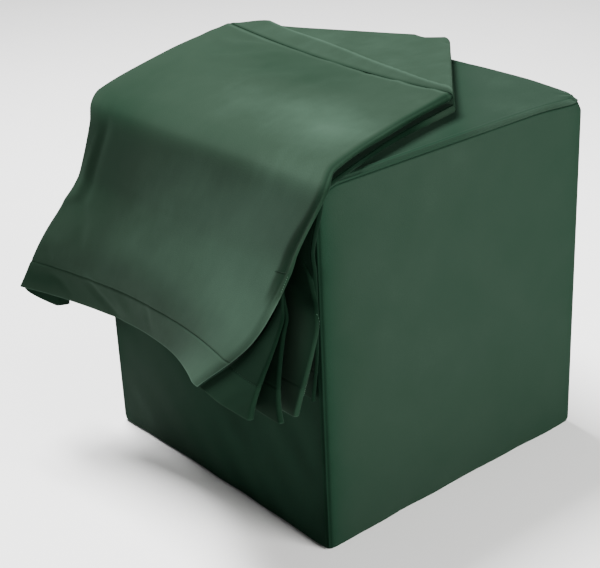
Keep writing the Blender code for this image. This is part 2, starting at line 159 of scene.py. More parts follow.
# Creases of the front panel. Each follows its path, in metres across from the left seam
# and down from the top seam; it is as wide as width on either side, and rises (or sinks).
FRONT_CREASES = table(
    "path width rise",
    (((.013, .042), (.047, .056), (.074, .056), (.101, .028)), .012, .0022),
    (((.034, .028), (.061, .028), (.102, .014)), .009, -.0018),
    (((.080, .112), (.114, .084), (.135, .042), (.162, .014)), .013, .0024),
    (((.127, .112), (.162, .084), (.176, .042)), .010, -.0018),
    (((.168, .164), (.182, .126), (.223, .084), (.223, .014)), .018, .0028),
    (((.230, .140), (.250, .070), (.264, .028)), .012, -.0019),
    (((.277, .042), (.284, .000)), .008, -.0014),
    (((.345, .056), (.338, .014), (.344, .000)), .010, .0016),
    (((.387, .070), (.399, .028), (.398, .000)), .009, .0017),
    (((.039, .277), (.041, .298), (.035, .336), (.035, .371), (.043, .411), (.064, .438),
       (.076, .474)),
     .010, -.0020),
    (((.028, .320), (.022, .358), (.023, .402), (.004, .420)), .009, .0018),
    (((.104, .524), (.131, .545), (.178, .575)), .007, -.0020),
    (((.042, .535), (.063, .545), (.085, .565)), .007, -.0016),
    (((.224, .524), (.243, .565)), .007, -.0012),
    (((.020, .494), (.034, .514)), .006, -.0012),
    (((.160, .530), (.190, .560)), .010, .0014),
    (((.360, .180), (.375, .230)), .040, .0012),
)
# Painted light and painted shade on the front panel: place and size in metres.
FRONT_PAINTED_LIGHT = table(
    "place size tone",
    ((.365, .195), (.055, .045), .15),
    ((.200, .165), (.080, .045), .03),
    ((.300, .150), (.080, .060), .08),
    ((.045, .330), (.075, .110), -.20),
    ((.180, .275), (.180, .028), -.12),
    ((.200, .060), (.120, .070), -.14),
    ((.385, .330), (.060, .050), .12),
    ((.060, .190), (.060, .070), -.06),
    ((.010, .340), (.010, .060), .10),
    ((.300, .345), (.180, .060), .14),
    ((.340, .430), (.150, .090), .20),
    ((.130, .470), (.120, .055), .06),
    ((.390, .470), (.060, .060), .10),
    ((.030, .550), (.060, .020), -.20),
    ((.140, .550), (.060, .018), -.06),
    ((.380, .560), (.070, .040), .08),
)
# Painted light and shade on the right side panel's folds: the cloth's length to the place, its
# reach and tone.
FOLD_PAINTED_LIGHT = table("place reach tone", (0.050, 0.020, 0.04), (0.350, 0.036, 0.42),
                   (0.396, 0.008, -0.12))
# Painted shade on the pouf's four faces, in their order: a lower tone is darker.
FACE_PAINTED_SHADE = (0.48, 0.42, 0.26, 0.24)

# The ridge behind the top panel's seam: how far back it is, and how high, along the seam.
RIDGE = ((0.00, 0.060), (0.20, 0.050), (0.45, 0.038), (0.70, 0.024), (0.90, 0.012), (1.00, 0.007))
RIDGE_HEIGHT = ((0.00, 0.004), (0.10, 0.006), (0.60, 0.006), (0.90, 0.004), (1.00, 0.002))
RIDGE_FALL = 0.0045

# Marks beside seams, hems and stitches: what they add in their middle (to the cloth's height
# in metres, or to its tone, mostly painted highlights and painted shade), and how far they reach.
CORNER_RIDGE, CORNER_GROOVE = (0.0004, 0.0010), (-0.0003, 0.0014)
CORNER_HIGHLIGHT, CORNER_GROOVE_SHADE = (0.16, 0.0007), (-0.10, 0.0010)
POUF_SEAM_SHADE, TOP_RIM_SHADE = (-0.12, 0.0012), (-0.14, 0.0010)
BAND_DIP, BAND_HIGHLIGHT, BAND_GROOVE_SHADE = (-0.0004, 0.0009), (0.06, BAND / 3), (-0.14, 0.0008)
COVER_SEAM_DIP, HEM_STITCH_DIP = (-0.0012, 0.0026), (-0.0007, 0.0014)
EDGE_RIDGE, EDGE_GROOVE, EDGE_HIGHLIGHT = (0.0004, 0.0012), (-0.0006, 0.0014), (0.22, 0.0010)
COVER_SEAM_SHADE, COVER_SEAM_HIGHLIGHT = (-0.30, 0.0035), (0.12, 0.003)
HEM_STITCH_LINE, HEM_EDGE_HIGHLIGHT, SLIT_EDGE_HIGHLIGHT = (-0.22, 0.0012), (0.30, 0.0011), (0.25, 0.0012)
BACK_STITCH_DIP, BACK_EDGE_HIGHLIGHT = (-0.0006, 0.0016), (0.25, 0.0011)
BACK_PAINTED_LIGHT, BACK_SHADE = (0.14, 0.05), (-0.30, 0.030)
SIDE_STITCH_DIP, SIDE_STITCH_LINE = (-0.0005, 0.0016), (-0.10, 0.0014)
SIDE_EDGE_HIGHLIGHT, PLEAT_EDGE_SHADE = (0.34, 0.0010), (-0.07, 0.004)
RIDGE_HIGHLIGHT, RIDGE_SHADE = (0.16, 0.003), (-0.12, 0.005)

# Where the stitches run along the panels, and how.
HEM_STITCH = ((0.000, 0.5240), (0.215, 0.5200), (0.430, 0.5140))
BACK_STITCH, SIDE_STITCH = 0.520, 0.522
BAR_TACK = ((0.4085, 0.3840), (0.4130, 0.3828), (0.4175, 0.3825), (0.4220, 0.3812),
            (0.4255, 0.3808))
STITCH_ROWS = table(
    "name panel path length spacing radius thread",
    ("hem_stitches", "front", HEM_STITCH, 0.0026, 0.0036, 0.00032, "dark"),
    ("bar_tack", "front", BAR_TACK, 0.0022, 0.0013, 0.00045, "dark"),
    ("slit_edge_stitches", "front", ((0.4262, 0.3840), (0.4275, 0.4060)), 0.0014, 0.0030,
     0.00028, "pale"),
    ("near_pleat_hem_stitches", "right_side", ((0.006, 0.5215), (0.083, 0.5225)), 0.0024,
     0.0036, 0.00030, "dark"),
    ("middle_pleat_hem_stitches", "right_side", ((0.124, 0.5225), (0.160, 0.5225)), 0.0024,
     0.0036, 0.00030, "dark"),
    ("far_pleat_hem_stitches", "right_side", ((0.330, 0.5225), (0.388, 0.5225)), 0.0024,
     0.0036, 0.00030, "dark"),
    ("back_slit_stitches", "right_side", ((0.3930, 0.4200), (0.3925, 0.4700), (0.3920, 0.5400)),
     0.0014, 0.0036, 0.00022, "pale"),
)


# ---------------------------------------------------------------- small helpers

def mix(a, b, t):
    return a + (b - a) * t


def mix_all(a, b, t):
    return tuple(mix(p, q, t) for p, q in zip(a, b))


def ease(t):
    """A smooth step from 0 to 1."""
    t = min(1.0, max(0.0, t))
    return t * t * (3 - 2 * t)


def bell(distance, width):
    """1 at no distance, falling off over the width."""
    return math.exp(-(distance / width) ** 2)


def stroke(mark, away):
    """What a mark (its amount and reach) adds this far from its middle."""
    amount, reach = mark
    return amount * bell(away, reach)


def along(line, x):
    """The value at x of a line through points of (x, value)."""
    for (x0, v0), (x1, v1) in zip(line, line[1:]):
        if x <= x1:
            return mix(v0, v1, max(0.0, (x - x0) / (x1 - x0)))
    return line[-1][1]


def spaced(bands, start=0.0):
    """Places in bands of (stop, step)."""
    places = [start]
    for stop, step in bands:
        count = max(1, round((stop - places[-1]) / step))
        first = places[-1]
        places += [mix(first, stop, (k + 1) / count) for k in range(count)]
    return places


def graded(start, stop, fine, coarse):
    """Places from start to stop, close together at both ends and wider in the middle."""
    half = (stop - start) / 2
    steps, step = [0.0], fine
    while steps[-1] < half:
        steps.append(steps[-1] + step)
        step = min(coarse, step * 1.3)
    scale = half / steps[-1]
    return ([start + s * scale for s in steps]
            + [stop - s * scale for s in reversed(steps[:-1])])


def ripple(x, y, seed=0.0):
    """A slow unevenness between -1 and 1, the same on each run."""
    return (math.sin(x * 1.0 + 1.7 * math.sin(y * 0.63 + seed) + seed)
            + math.sin(y * 1.27 + 1.3 * math.sin(x * 0.71 - seed) + 2.1 * seed)) / 2


# ---------------------------------------------------------------- camera, floor and light

def set_camera():
    """The photo's view of the cube: azimuth 50.8, elevation 25.0, roll -2.7 degrees."""
    turn, tip, roll = (math.radians(a) for a in (50.84, 25.02, -2.66))
    back = Vector((math.sin(turn) * math.cos(tip), -math.cos(turn) * math.cos(tip), math.sin(tip)))
    level = Vector((math.cos(turn), math.sin(turn), 0.0))
    upright = back.cross(level)
    right = level * math.cos(roll) + upright * math.sin(roll)
    upright = back.cross(right)
    data = bpy.data.cameras.new("view")
    data.lens = 85.6
    data.sensor_width = 36.0
    camera = bpy.data.objects.new("view", data)
    bpy.context.collection.objects.link(camera)
    camera.matrix_world = Matrix((*zip(right, upright, back, VIEW_FROM), (0.0, 0.0, 0.0, 1.0)))
    bpy.context.scene.camera = camera


def lamp(name, place, aim, size, watts, colour):
    data = bpy.data.lights.new(name, "AREA")
    data.shape = "SQUARE"
    data.size = size
    data.energy = watts
    data.color = colour
    light = bpy.data.objects.new(name, data)
    bpy.context.collection.objects.link(light)
    light.location = place
    light.rotation_euler = (Vector(aim) - Vector(place)).to_track_quat("-Z", "Y").to_euler()


def studio():
    bpy.ops.object.select_all(action="DESELECT")
    bpy.ops.mesh.primitive_plane_add(size=14.0, location=(0, 0, 0))
    floor = bpy.context.object
    floor.name = "studio_floor"
    floor.data.materials.append(paper("pale_floor_paper"))
    world = bpy.data.worlds.new("soft_room")
    world.use_nodes = True
    room = world.node_tree.nodes["Background"]
    room.inputs["Color"].default_value = (1.0, 1.0, 1.0, 1.0)
    room.inputs["Strength"].default_value = 0.16
    bpy.context.scene.world = world
    lamp("right_softbox", (2.8, 0.45, 1.3), (0.0, 0.0, 0.25), 1.6, 215.0, (1.0, 0.99, 0.97))
    lamp("top_softbox", (-1.0, -0.10, 2.9), (0.0, 0.0, 0.3), 1.1, 330.0, (1.0, 1.0, 1.0))


# ---------------------------------------------------------------- materials

def linear(code):
    """An sRGB hex colour as linear red, green, blue, alpha."""
    values = [int(code[k:k + 2], 16) / 255 for k in (1, 3, 5)]
    return (*(v / 12.92 if v <= 0.04045 else ((v + 0.055) / 1.055) ** 2.4 for v in values), 1.0)


def add(tree, kind, settings=None, links=None):
    """Add a node, with its settings (a property, or an input's value) and its links."""
    node = tree.nodes.new(kind)
    for key, value in (settings or {}).items():
        if isinstance(key, str) and hasattr(node, key):
            setattr(node, key, value)
        else:
            node.inputs[key].default_value = value
    for key, source in (links or {}).items():
        tree.links.new(source, node.inputs[key])
    return node


def fresh(name):
    """An empty material and its node tree."""
    made = bpy.data.materials.new(name)
    made.use_nodes = True
    made.node_tree.nodes.clear()
    return made, made.node_tree


def grained(name, dark, light, grain, surface, bump=None):
    """A material of two tones, mixed by its grain."""
    made, tree = fresh(name)
    where = add(tree, "ShaderNodeTexCoord")
    noise = add(tree, "ShaderNodeTexNoise", grain, {"Vector": where.outputs["Object"]})
    tint = add(tree, "ShaderNodeMix",
               {"data_type": "RGBA", 6: linear(dark), 7: linear(light)}, {0: noise.outputs["Fac"]})
    links = {"Base Color": tint.outputs[2]}
    if bump:
        raised = add(tree, "ShaderNodeBump", bump, {"Height": noise.outputs["Fac"]})
        links["Normal"] = raised.outputs[0]
    shader = add(tree, "ShaderNodeBsdfPrincipled", surface, links)
    add(tree, "ShaderNodeOutputMaterial", None, {"Surface": shader.outputs[0]})
    return made


def paper(name):
    """Matt seamless studio paper: pale, with barely any grain."""
    return grained(name, "#F3F3F2", "#F8F8F8", {"Scale": 3.0, "Detail": 2.0},
                   {"Roughness": 0.9, "Specular IOR Level": 0.2})


def thread(name, dark, light):
    """Twisted polyester sewing thread, 0.5 mm, with a slight gloss."""
    return grained(name, dark, light, {"Scale": 1 / 0.0006, "Detail": 1.0},
                   {"Roughness": 0.8, "Specular IOR Level": 0.08},
                   {"Strength": 0.4, "Distance": 0.0002})


def velvet(name, deep, shade, mid, light, on_cloth, marked, sheen):
    """Short-pile polyester velvet, woven and sheared, with random stroke marks over each piece's
    painted tone: deep in painted shade, lighter in painted light and in painted highlights along
    edges."""
    made, tree = fresh(name)
    if on_cloth:
        where = add(tree, "ShaderNodeUVMap", {"uv_map": "cut"}).outputs[0]
    else:
        where = add(tree, "ShaderNodeTexCoord").outputs["Object"]
    # Stroke marks: patches about 60 mm across, with softer-edged ones of 15 mm in them.
    patches = add(tree, "ShaderNodeTexNoise", {"Scale": 1 / 0.060, "Detail": 2.0, "Roughness": 0.5},
                  {"Vector": where})
    stretched = add(tree, "ShaderNodeMapping",
                    {"Scale": (1.0, 0.35, 0.35), "Rotation": (0.3, 0.2, 0.5)}, {"Vector": where})
    strokes = add(tree, "ShaderNodeTexNoise", {"Scale": 1 / 0.012, "Detail": 3.0, "Roughness": 0.6},
                  {"Vector": stretched.outputs[0]})
    # The pile's tufts are 0.3 mm apart, too fine to show, so they are drawn 1.3 mm apart.
    tufts = add(tree, "ShaderNodeTexNoise", {"Scale": 1 / 0.0013, "Detail": 1.0, "Roughness": 0.5},
                {"Vector": where})
    # This tone carries the pieces' painted light and shade, with their seam and stitch lines.
    painted_tone_attribute = add(tree, "ShaderNodeAttribute", {"attribute_name": "tone_and_painted_light"})
    painted_tone = painted_tone_attribute.outputs["Fac"]
    for marks, strength in ((patches, marked), (strokes, 0.5 * marked), (tufts, 0.12)):
        centred = add(tree, "ShaderNodeMath", {"operation": "SUBTRACT", 1: 0.5},
                      {0: marks.outputs["Fac"]})
        painted_tone = add(tree, "ShaderNodeMath", {"operation": "MULTIPLY_ADD", 1: strength},
                  {0: centred.outputs[0], 2: painted_tone}).outputs[0]
    # The ramp turns the painted tone into painted-shade (deep, shade) and painted-light (light)
    # copies of the velvet's green.
    colour = add(tree, "ShaderNodeValToRGB", None, {"Fac": painted_tone})
    colour.color_ramp.elements[0].color = linear(deep)
    colour.color_ramp.elements[1].color = linear(light)
    colour.color_ramp.elements.new(0.5).color = linear(mid)
    colour.color_ramp.elements.new(0.25).color = linear(shade)
    bump = add(tree, "ShaderNodeBump", {"Strength": 0.35, "Distance": 0.0004},
               {"Height": tufts.outputs["Fac"]})
    shine = add(tree, "ShaderNodeMapRange", {"To Min": 0.85, "To Max": 0.70}, {"Value": painted_tone})
    shader = add(tree, "ShaderNodeBsdfPrincipled",
                 {"Metallic": 0.0, "IOR": 1.45, "Specular IOR Level": 0.03, "Sheen Weight": sheen,
                  "Sheen Roughness": 0.45, "Sheen Tint": linear("#9CC0AC")},
                 {"Base Color": colour.outputs["Color"], "Normal": bump.outputs[0],
                  "Roughness": shine.outputs[0]})
    add(tree, "ShaderNodeOutputMaterial", None, {"Surface": shader.outputs[0]})
    return made


# ---------------------------------------------------------------- turning points into pieces

def piece(name, points, faces, cut, tone_and_painted_light, material):
    """A mesh object with its place in the flat cut as a UV map, and its tone at each point, which
    carries painted light and shade: 0 is the deepest painted shade, 0.5 plain cloth, 1 the lightest
    painted light."""
    mesh = bpy.data.meshes.new(name)
    mesh.from_pydata(points, [], faces)
    flat = mesh.uv_layers.new(name="cut")
    for polygon, corners in zip(mesh.polygons, cut):
        for loop, place in zip(polygon.loop_indices, corners):
            flat.data[loop].uv = place
    painted_tone = mesh.attributes.new("tone_and_painted_light", "FLOAT", "POINT")
    for k, value in enumerate(tone_and_painted_light):
        painted_tone.data[k].value = min(1.0, max(0.0, value))
    mesh.shade_smooth()
    mesh.materials.append(material)
    made = bpy.data.objects.new(name, mesh)
    bpy.context.collection.objects.link(made)
    return made


def pick(made):
    """Select this piece alone."""
    bpy.ops.object.select_all(action="DESELECT")
    made.select_set(True)
    bpy.context.view_layer.objects.active = made


def facing_out(made):
    """Turn a closed piece's faces outwards."""
    pick(made)
    bpy.ops.object.mode_set(mode="EDIT")
    bpy.ops.mesh.select_all(action="SELECT")
    bpy.ops.mesh.normals_make_consistent(inside=False)
    bpy.ops.object.mode_set(mode="OBJECT")


def thicken(made):
    """Give a sheet of velvet its thickness, with rounded rims."""
    pick(made)
    thick = made.modifiers.new("velvet", "SOLIDIFY")
    thick.thickness = CLOTH
    thick.offset = 0.0
    rim = made.modifiers.new("rim", "BEVEL")
    rim.width = CLOTH * 0.35
    rim.segments = 2
    rim.limit_method = "ANGLE"
    rim.angle_limit = math.radians(75)
    for modifier in ("velvet", "rim"):
        bpy.ops.object.modifier_apply(modifier=modifier)


def rings_to_piece(name, rings, cut, material, caps):
    """Close rings into one skin. Each ring is a list of points with their tones; cut(k, j) is
    a point's place in the flat cut; caps are the two end points, each a point or None."""
    count = len(rings[0])
    points, painted_tone = ([pair[k] for ring in rings for pair in ring] for k in (0, 1))
    faces, places = [], []
    for k in range(len(rings) - 1):
        for j in range(count):
            after = (j + 1) % count
            faces.append((k * count + j, k * count + after, (k + 1) * count + after,
                          (k + 1) * count + j))
            places.append((cut(k, j), cut(k, j + 1), cut(k + 1, j + 1), cut(k + 1, j)))
    for cap, k in zip(caps, (0, len(rings) - 1)):
        if cap is None:
            continue
        points.append(cap)
        painted_tone.append(0.5)
        for j in range(count):
            after = (j + 1) % count
            faces.append((k * count + j, k * count + after, len(points) - 1))
            places.append((cut(k, j), cut(k, j + 1), cut(k, j)))
    return piece(name, points, faces, places, painted_tone, material)


# ---------------------------------------------------------------- the pouf

def outline():
    """Points round the cube: its x and y at full size, the way out, the face that each is on,
    the distance from the nearest corner seam, how far the top seam rises there, and the
    length round the cube."""
    half = POUF_SIDE / 2
    flat = half - CORNER_RADIUS
    middle = math.radians(45)
    spots, length = [], 0.0
    for quarter in range(4):
        turn = math.radians(90 * quarter)
        local = [(half, y, 0.0) for y in graded(-flat, flat, 0.0009, 0.0042)[:-1]]
        arc = math.radians(90) / CORNER_FACES
        local += [(flat + CORNER_RADIUS * math.cos(k * arc),
                   flat + CORNER_RADIUS * math.sin(k * arc), k * arc) for k in range(CORNER_FACES)]
        for x, y, bent in local:
            if bent == 0.0:
                seam = CORNER_RADIUS * middle + flat - abs(y)
            else:
                seam = CORNER_RADIUS * abs(bent - middle)
            face, way = (quarter + (bent > middle)) % 4, bent + turn
            x, y = (x * math.cos(turn) - y * math.sin(turn),
                    x * math.sin(turn) + y * math.cos(turn))
            # The filling pushes the top seam up between the corners, but not under the cover.
            rise = 0.3 + 0.7 * ease(seam / 0.090)
            if face == RIGHT and y < 0:
                rise = ease(seam / 0.032)
            if face == FRONT or (face == LEFT and y < 0):
                rise = 0.0
            if spots:
                length += math.hypot(x - spots[-1]["x"], y - spots[-1]["y"])
            spots.append(dict(x=x, y=y, way=(math.cos(way), math.sin(way)), face=face, seam=seam,
                              rise=SEAM_BOW * rise, length=length))
    return spots


def side_relief(s, z):
    """How far a side stands out at a spot and height: its filling, its corner seam (a fine
    rolled ridge with a groove on either side), and the slight unevenness of the padding."""
    half = POUF_SIDE / 2
    across = s["y"] if abs(s["x"]) > abs(s["y"]) else s["x"]
    fill = SIDE_CROWN * max(0.0, math.sin(math.pi * z / SEAM_HEIGHT)) ** 0.7
    if s["face"] == FRONT:
        fill *= PRESSED
    fill -= FOOT_DRAW * max(0.0, 1 - z / (0.2 * SEAM_HEIGHT))
    out = fill * max(0.0, 1 - (across / half) ** 2)
    out += ease((z - 0.002) / 0.006) * (stroke(CORNER_RIDGE, s["seam"])
                                        + stroke(CORNER_GROOVE, s["seam"] - 0.0026))
    out += 0.0005 * ripple(s["length"] / 0.030, z / 0.034, 1.0) * min(1.0, s["seam"] / 0.03)
    # The foot's edge is a little wavy.
    out += (0.0009 * ripple(s["length"] / 0.016, 0.4, 2.0) * bell(z, 0.014)
            * min(1.0, s["seam"] / 0.02))
    return out


def side_tone(s, x, y, z):
    """The tone of a side: painted shade beside the corners and in the seams."""
    tone = FACE_PAINTED_SHADE[s["face"]] - 0.14 * math.exp(-s["seam"] / 0.010)
    if s["face"] == RIGHT:
        # Painted shade beside the front corner, and darker towards the back.
        tone -= 0.24 * math.exp(-s["seam"] / 0.028) * (y < 0) + 0.06 * ease((y + 0.05) / 0.25)
    # A painted highlight on the corner seam's ridge, and painted shade in the groove beside it.
    tone += ease((z - 0.002) / 0.006) * (stroke(CORNER_HIGHLIGHT, s["seam"])
                                         + stroke(CORNER_GROOVE_SHADE, s["seam"] - 0.0024))
    # Painted shade in the top seam's groove.
    tone += stroke(POUF_SEAM_SHADE, z - SEAM_HEIGHT)
    if s["face"] == FRONT:
        # The front has faint aslant streaks, painted light towards its lower left corner and
        # painted shade beside its left corner seam.
        tone += 0.05 * ripple((x + z) / 0.012, (x - z) / 0.070, 6.0)
        tone += 0.34 * ease((0.05 - x) / 0.22) * (1 - ease((z - 0.02) / 0.20)) - 0.03
        tone -= 0.16 * math.exp(-s["seam"] / 0.030) * (x < 0)
    return tone


def body_point(s, kind, value):
    """A point of the pouf's body and its tone, at a spot of the outline and a row of the
    profile: an angle round the foot or the brow, a share of the way up, or of the way out."""
    half = POUF_SIDE / 2
    radius = mix(FOOT_RADIUS, FOOT_CORNER, bell(s["seam"], 0.014))
    inset = 0.0
    if kind == "under":
        inset, z = radius, 0.0
    elif kind == "foot":
        inset, z = radius * (1 - math.sin(value)), radius * (1 - math.cos(value))
    elif kind == "side":
        z = mix(radius, SEAM_HEIGHT - SEAM_RADIUS, value)
    elif kind == "brow":
        inset = SEAM_RADIUS * (1 - math.cos(value))
        z = SEAM_HEIGHT - SEAM_RADIUS * (1 - math.sin(value))
    else:
        inset, z = SEAM_RADIUS, SEAM_HEIGHT
    out = side_relief(s, z) - inset
    x, y = s["x"] + s["way"][0] * out, s["y"] + s["way"][1] * out
    pull = 1 - CORNER_PULL / half * bell(s["seam"], PULL_REACH) * ease((z - 0.434) / 0.012)
    x, y = x * pull, y * pull
    up = s["rise"] * (z / SEAM_HEIGHT) ** 8
    if kind in ("under", "hidden"):
        x, y = x * value, y * value
    if kind == "hidden":
        up *= 1 - ease((1 - value) * half / 0.010)
    return (x, y, z + up), side_tone(s, x, y, z)


def pouf_body(material):
    """The cube, as rings round it: the underside, the rounded foot, the crowned sides, the
    brow that turns into the seam, and the part hidden under the top panel."""
    spots = outline()
    bends = [math.radians(90) * k / BROW_FACES for k in range(BROW_FACES + 1)]
    profile = [("under", share) for share in INNER_RINGS]
    profile += [("foot", angle) for angle in bends]
    profile += [("side", share) for share in graded(0.0, 1.0, 0.0016, 0.0095)[1:-1]]
    profile += [("brow", angle) for angle in bends]
    profile += [("hidden", share) for share in reversed(INNER_RINGS)]
    rings = [[body_point(s, *row) for s in spots] for row in profile]
    lengths = [s["length"] for s in spots] + [spots[-1]["length"] + 0.001]
    made = rings_to_piece("pouf_velvet_body", rings, lambda k, j: (lengths[j], rings[k][0][0][2]),
                          material, ((0, 0, 0), (0, 0, SEAM_HEIGHT)))
    facing_out(made)
    return made


def crown(x, y, inset):
    """Height of the top over its sewn edge: a round shoulder, then a low dome."""
    half = POUF_SIDE / 2
    over = 1 - min(1.0, max(0.0, inset) / SHOULDER_REACH)
    dome = TOP_CROWN - SHOULDER
    for value in (x, y):
        dome *= max(0.0, 1 - min(1.0, abs(value) / half) ** 4) ** 0.8
    return SHOULDER * math.sqrt(1 - over * over) + dome


def top_point(s, kind, value):
    """A point of the pouf's top panel and its tone: value is a share of the way in below it,
    an angle round its sewn rim, or how far in from its edge it is on top."""
    half = POUF_SIDE / 2
    if kind == "under":
        inset, z = value * half, 0.0
    elif kind == "rim":
        inset = RIM * (1 - math.cos(value))
        z = TOP_EDGE / 2 + TOP_EDGE / 2 * math.sin(value)
    else:
        inset, z = value, TOP_EDGE
    upper = ease((z / TOP_EDGE - 0.5) / 0.5)
    pull = CORNER_PULL / half * bell(s["seam"], PULL_REACH) * (1 + 0.6 * upper)
    scale = 1 - inset / half - pull
    x, y = s["x"] * scale, s["y"] * scale
    lift = crown(x, y, inset - RIM) * upper
    tone = 0.5
    if kind != "under":
        # The band between the seam and its topstitching, with a painted highlight, and painted
        # shade in the stitched groove.
        lift += upper * stroke(BAND_DIP, inset - BAND)
        tone += stroke(BAND_HIGHLIGHT, inset - BAND / 2) + stroke(BAND_GROOVE_SHADE, inset - BAND)
        # Painted shade in the seam at the rim's foot.
        tone += stroke(TOP_RIM_SHADE, z)
        # Puckers where the corners are turned, with painted light and shade on their ridges and
        # hollows.
        corner = math.hypot(half - abs(x), half - abs(y))
        way = math.atan2(half - abs(y), half - abs(x))
        pucker = bell(corner - 0.018, 0.012) * math.sin(way * 13 + 0.5)
        lift += 0.0008 * pucker * upper
        tone += 0.10 * pucker
        lift += 0.0006 * ripple(x / 0.030, y / 0.034, 3.0) * ease(inset / 0.03)
    # Clear of the folded cover the padding stands a little higher.
    across, up, span = COVER_EDGE
    clear = ((x - APEX[0]) * across + (y - APEX[1]) * up) / span
    back = ease(clear / 0.045) * ease((y + 0.02) / 0.12) * (1 - (x / half) ** 4)
    lift += PADDING * max(0.0, back) * ease((inset - RIM) / 0.012)
    # Painted shadow of the folded cover on the top beside its edge, and painted shade along the
    # right edge in front of it.
    front = 1 - ease((y + 0.06) / 0.10)
    tone -= 0.16 * ((1 - front) * bell(clear, 0.024) + front * bell(x - 0.215, 0.05))
    if not (kind == "under" and value > 0.5):
        lift += s["rise"] * (1 - ease(inset / 0.014))
    return (x, y, SEAM_HEIGHT + GAP + z + lift), tone


def pouf_top_panel(material):
    """The padded top, as rings from its underside round its sewn rim to the middle."""
    spots = outline()
    insets = spaced(((0.016, 0.0006), (0.030, 0.0016), (0.205, 0.0048)), start=RIM)
    profile = [("under", 0.6), ("under", 0.05)]
    profile += [("rim", math.radians(-90 + 180 * k / RIM_FACES)) for k in range(RIM_FACES + 1)]
    profile += [("top", inset) for inset in insets[1:]]
    rings = [[top_point(s, *row) for s in spots] for row in profile]
    base = SEAM_HEIGHT + GAP
    middle = base + TOP_EDGE + crown(0.0, 0.0, POUF_SIDE / 2)
    made = rings_to_piece("pouf_velvet_top", rings,
                          lambda k, j: rings[k][j % len(spots)][0][:2], material,
                          ((0, 0, base), (0, 0, middle)))
    facing_out(made)
    return made


# ---------------------------------------------------------------- the cover's cross-section

def fold_marks(folds, length):
    """Places along a side panel for its points: close round each fold."""
    marks = [SEAM_GAP]
    reach = 1.6 * FOLD_REACH
    for place in folds:
        start, stop = marks[-1], place - reach
        marks += [mix(start, stop, k / LEG_FACES) for k in range(1, LEG_FACES)]
        marks += [place + mix(-reach, reach, k / FOLD_FACES) for k in range(FOLD_FACES + 1)]
    start = marks[-1]
    marks += [mix(start, length - SEAM_GAP, k / LEG_FACES) for k in range(1, LEG_FACES + 1)]
    least = FOLD_REACH / 8
    for k in range(1, len(marks)):
        marks[k] = max(marks[k], marks[k - 1] + least)
    marks[-1] = length - SEAM_GAP
    for k in range(len(marks) - 2, 0, -1):
        marks[k] = min(marks[k], marks[k + 1] - least)
    return marks


def curl(roll, turn):
    """Offsets (x, depth) round a rolled edge whose outermost point is at x = 0."""
    radius = roll / (1 - math.cos(math.radians(turn)))
    angles = [math.radians(turn) * k / CURL_FACES for k in range(CURL_FACES + 1)]
    spread = [(radius * math.sin(a), radius * (1 - math.cos(a))) for a in angles]
    widest = max(x for x, _ in spread)
    return [(x - widest, depth) for x, depth in spread]


def rolled(low, high, curls, faces):
    """(x, height) across a panel, from its left rolled edge to its right one."""
    left = [(low - x, height) for x, height in reversed(curls[-1])]
    right = [(high + x, height) for x, height in curls[1]]
    flat = [(mix(left[-1][0], right[0][0], k / faces), 0.0) for k in range(1, faces)]
    return left + flat + right


